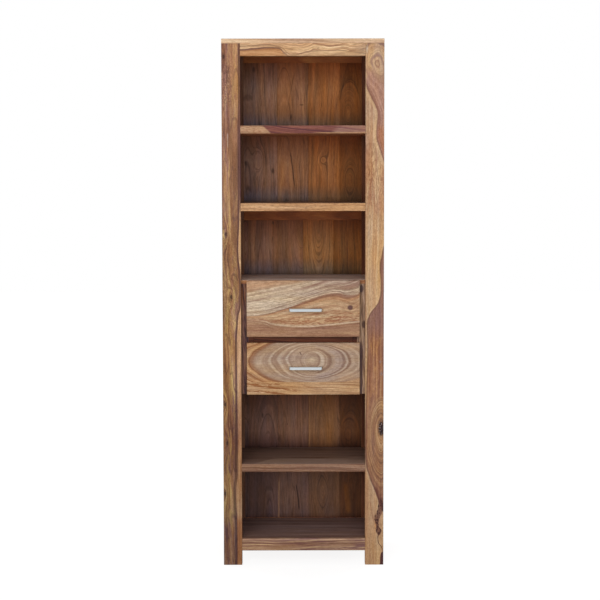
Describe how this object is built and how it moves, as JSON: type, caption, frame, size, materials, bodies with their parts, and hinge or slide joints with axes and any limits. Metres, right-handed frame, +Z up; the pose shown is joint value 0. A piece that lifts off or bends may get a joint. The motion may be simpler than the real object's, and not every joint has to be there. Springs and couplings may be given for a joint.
{
  "type": "bookcase with drawers",
  "caption": "Tall narrow solid wood bookcase: straight square-edged posts, open shelf bays above and below a case of sliding overlay drawers with slim metal bow handles.",
  "frame": {"origin": "on the floor, at the centre of the box that holds the whole bookcase with its handles", "axes": "+Z up along the posts, front towards -Y, +X to the right as seen from the front"},
  "size_m": [0.55, 0.378, 1.8],
  "materials": {
    "post_wood": "satin lacquer over streaked golden brown sheesham",
    "top_wood": "satin lacquer over honey sheesham",
    "rail_wood": "satin lacquer over brown sheesham",
    "back_wood": "satin lacquer over reddish brown planks",
    "side_wood": "satin lacquer over brown sheesham",
    "shelf_wood": "satin lacquer over brown sheesham",
    "front_wood": "satin lacquer over figured sheesham",
    "drawer_wood": "plain planed wood, thinly lacquered",
    "handle_metal": "satin nickel",
    "screw_metal": "zinc plated"
  },
  "bodies": {
    "carcass": {"front_left_post": "post_wood", "front_right_post": "post_wood", "rear_left_post": "post_wood", "rear_right_post": "post_wood", "top_board": "top_wood", "front_top_rail": "rail_wood", "front_bottom_rail": "rail_wood", "left_top_rail": "rail_wood", "right_top_rail": "rail_wood", "left_bottom_rail": "rail_wood", "right_bottom_rail": "rail_wood", "rear_top_rail": "back_wood", "back_rail_upper": "back_wood", "back_rail_lower": "back_wood", "rear_bottom_rail": "back_wood", "back_panel_upper": "back_wood", "back_panel_middle": "back_wood", "back_panel_lower": "back_wood", "left_side_panel": "side_wood", "right_side_panel": "side_wood", "upper_shelf": "shelf_wood", "middle_shelf": "shelf_wood", "lower_shelf": "shelf_wood", "bottom_shelf": "shelf_wood", "drawer_case_top": "shelf_wood", "drawer_case_bottom": "shelf_wood", "left_stile": "rail_wood", "right_stile": "rail_wood", "drawer_rail": "rail_wood", "lower_left_runner": "drawer_wood", "lower_right_runner": "drawer_wood", "upper_left_runner": "drawer_wood", "upper_right_runner": "drawer_wood"},
    "lower_drawer": {"lower_drawer_front": "front_wood", "lower_drawer_left_side": "drawer_wood", "lower_drawer_right_side": "drawer_wood", "lower_drawer_back": "drawer_wood", "lower_drawer_bottom": "drawer_wood", "lower_drawer_handle": "handle_metal", "lower_drawer_left_screw": "screw_metal", "lower_drawer_right_screw": "screw_metal"},
    "upper_drawer": {"upper_drawer_front": "front_wood", "upper_drawer_left_side": "drawer_wood", "upper_drawer_right_side": "drawer_wood", "upper_drawer_back": "drawer_wood", "upper_drawer_bottom": "drawer_wood", "upper_drawer_handle": "handle_metal", "upper_drawer_left_screw": "screw_metal", "upper_drawer_right_screw": "screw_metal"}
  },
  "joints": [
    {"name": "lower_drawer_slide", "type": "slide", "parent": "carcass", "child": "lower_drawer", "axis": [0, -1, 0], "range_m": [0, 0.22]},
    {"name": "upper_drawer_slide", "type": "slide", "parent": "carcass", "child": "upper_drawer", "axis": [0, -1, 0], "range_m": [0, 0.22]}
  ]
}
